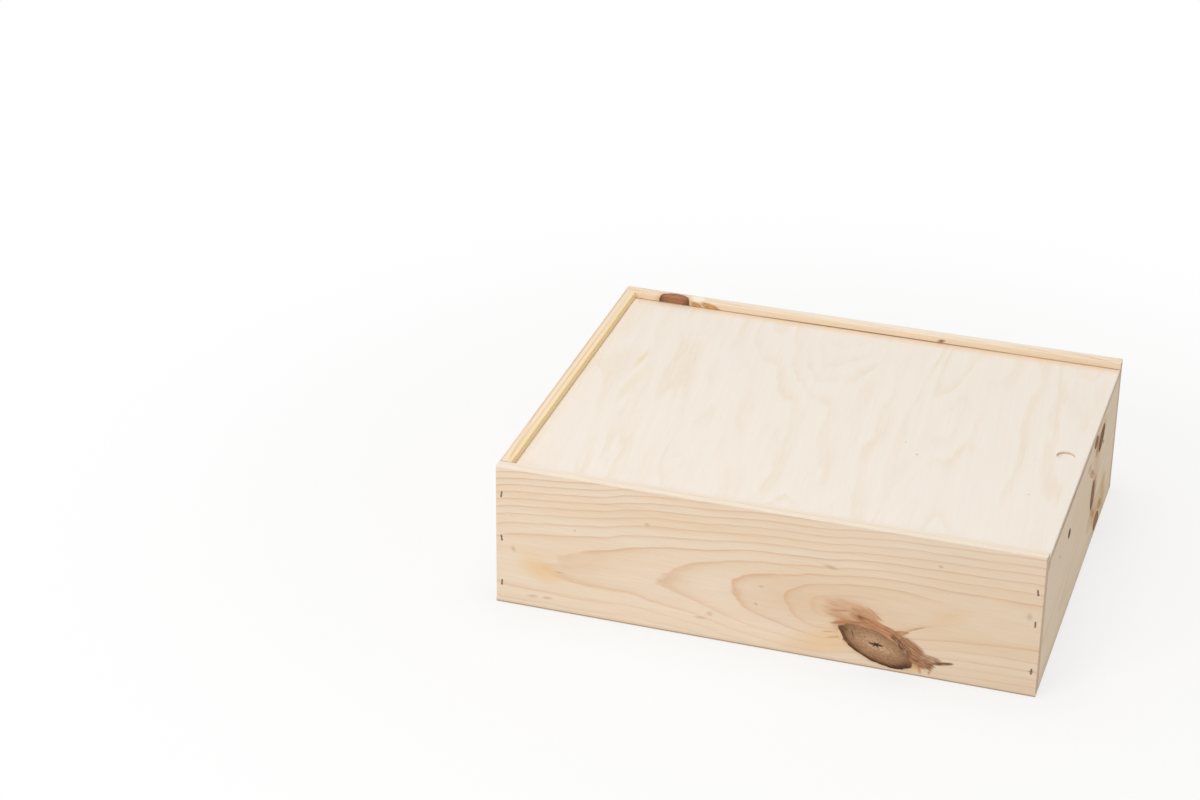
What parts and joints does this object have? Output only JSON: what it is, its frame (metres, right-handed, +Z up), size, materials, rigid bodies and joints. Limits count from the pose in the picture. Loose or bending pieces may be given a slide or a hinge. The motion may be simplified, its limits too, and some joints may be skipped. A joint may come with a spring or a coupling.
{
  "type": "wooden wine box",
  "caption": "Shallow pine box with a grooved-in sliding plywood lid, a finger recess, stapled corners and half-lapped dividers with neck notches for bottles laid side by side.",
  "frame": {"origin": "under the middle of the base panel, on the surface the box stands on", "axes": "+X along the box towards the end the lid pulls out of, +Y to the rear side, +Z up"},
  "size_m": [0.36, 0.286, 0.102],
  "materials": {
    "pine_boards": "planed, unfinished",
    "lid_plywood": "sanded, unfinished",
    "divider_plywood": "sanded, unfinished",
    "base_plywood": "rough sanded, unfinished",
    "staple_steel": "galvanised wire"
  },
  "bodies": {
    "case": {"front_side_board": "pine_boards", "rear_side_board": "pine_boards", "fixed_end_board": "pine_boards", "low_end_board": "pine_boards", "base_panel": "base_plywood", "front_long_divider": "divider_plywood", "rear_long_divider": "divider_plywood", "neck_divider": "divider_plywood", "corner_staples": "staple_steel", "base_staples": "staple_steel"},
    "lid": {"sliding_lid": "lid_plywood"}
  },
  "joints": [
    {"name": "lid_slide", "type": "slide", "parent": "case", "child": "lid", "axis": [1, 0, 0], "range_m": [0, 0.345]}
  ]
}
